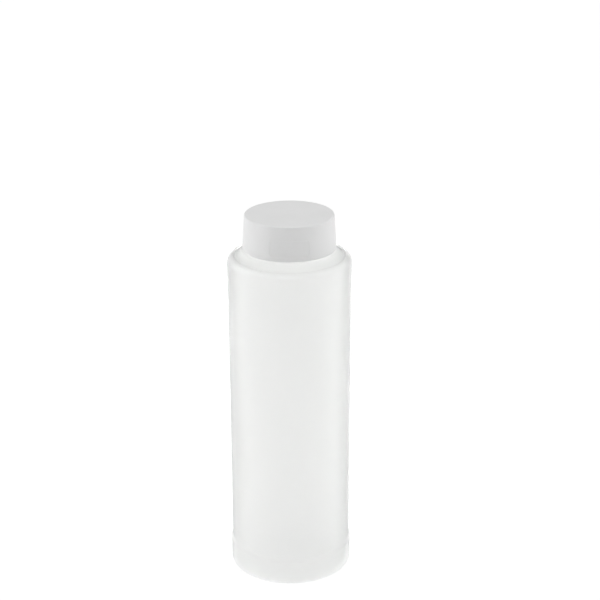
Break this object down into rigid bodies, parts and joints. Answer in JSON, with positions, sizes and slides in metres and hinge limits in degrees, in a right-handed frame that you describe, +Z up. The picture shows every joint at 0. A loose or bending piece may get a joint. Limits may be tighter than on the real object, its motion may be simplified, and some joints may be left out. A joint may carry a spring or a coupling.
{
  "type": "reagent bottle",
  "caption": "Tall cylindrical wide-mouth bottle in translucent polyethylene with a recessed label panel, and a smooth white screw cap with a sealing liner.",
  "frame": {"origin": "centre of the circle the bottle stands on, at the level of its standing ring", "axes": "+Z up along the bottle's axis, from the base to the cap; -Y towards the front, where the cap's plain panel is"},
  "size_m": [0.0756, 0.0756, 0.23],
  "materials": {
    "natural_polyethylene": "milky translucent, satin",
    "white_polypropylene": "opaque white, fine matt",
    "white_liner_foam": "opaque white foam, matt"
  },
  "bodies": {
    "bottle": {"bottle_body": "natural_polyethylene"},
    "liner": {"cap_liner": "white_liner_foam"},
    "cap": {"cap_shell": "white_polypropylene"}
  },
  "joints": [
    {"name": "cap_lift", "type": "slide", "parent": "bottle", "child": "liner", "axis": [0, 0, 1], "range_m": [0, 0.0182]},
    {"name": "cap_turn", "type": "hinge", "parent": "liner", "child": "cap", "pos_m": [0, 0, 0.2092], "axis": [0, 0, 1], "range_deg": [0, 1530]}
  ],
  "couplings": [
    {"joint": "cap_lift", "follows": "cap_turn", "m_per_rad": 0.00067376}
  ]
}
